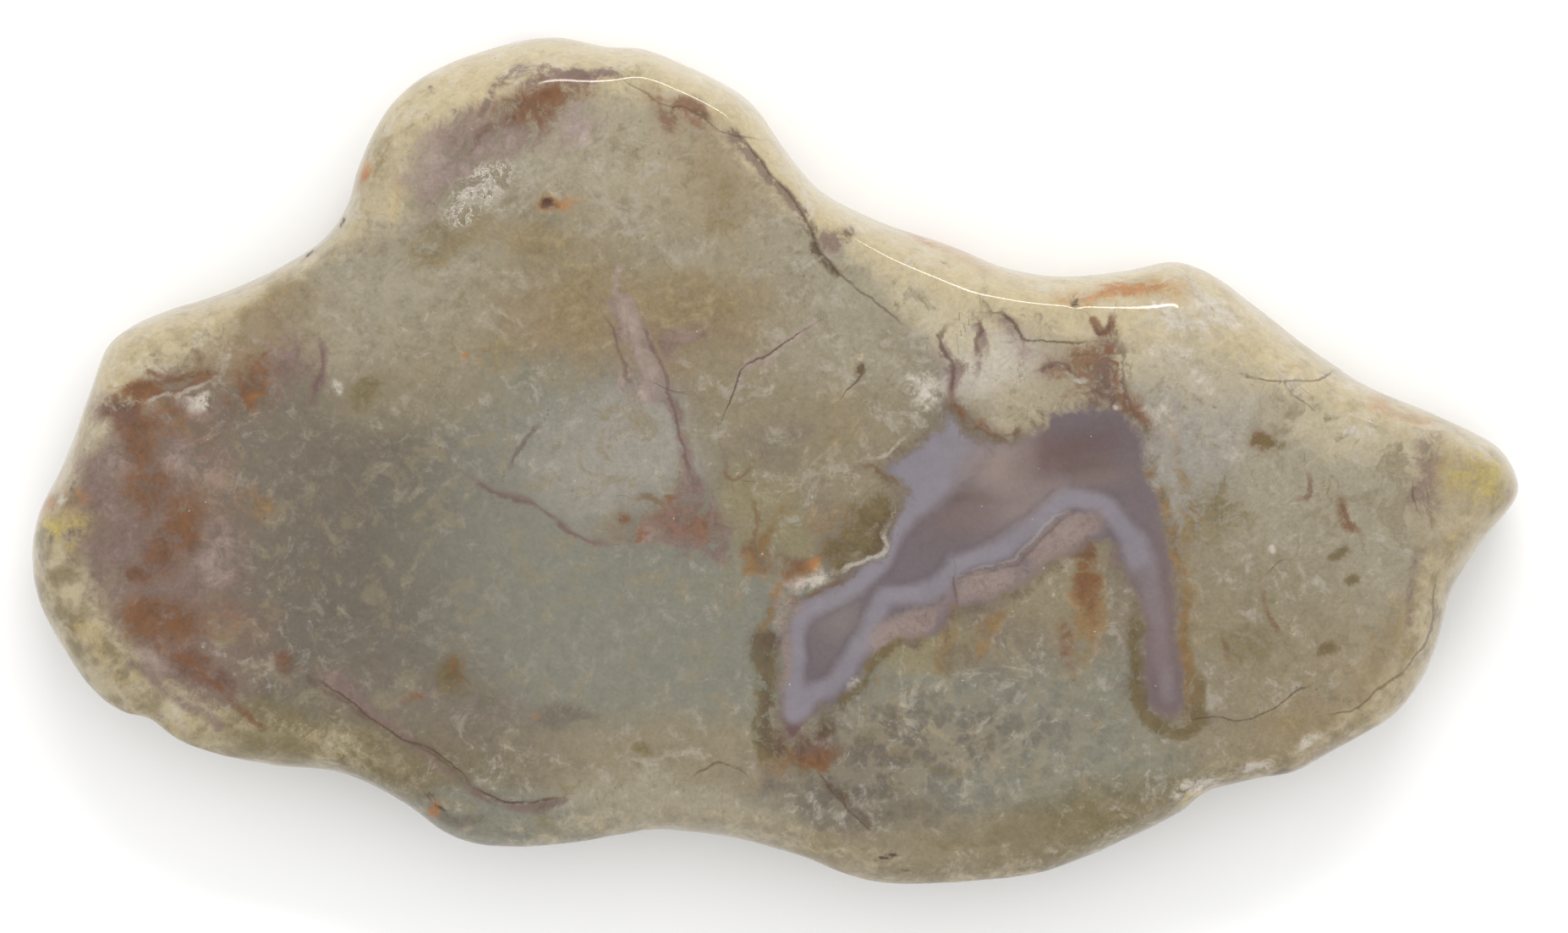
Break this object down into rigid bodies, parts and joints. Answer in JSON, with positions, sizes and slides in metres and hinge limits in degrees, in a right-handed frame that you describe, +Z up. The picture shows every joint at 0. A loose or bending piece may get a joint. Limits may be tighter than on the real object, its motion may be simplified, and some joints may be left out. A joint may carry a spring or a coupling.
{
  "type": "polished coprolite slab",
  "caption": "Freeform slab of agatised dinosaur coprolite with a polished face, rounded shoulders and a flat sawn underside to lie on.",
  "frame": {"origin": "centre of the bounding box, on the surface that the slab lies on", "axes": "+X along the slab towards its pointed tip, +Y across it towards the rounded lobe, +Z up through the polished face"},
  "size_m": [0.0878, 0.0502, 0.0092],
  "materials": {
    "polished_coprolite": "polished, mottled grey-brown with cream rind and lavender agate vein"
  },
  "bodies": {
    "root": {"coprolite_slab": "polished_coprolite"}
  },
  "joints": []
}
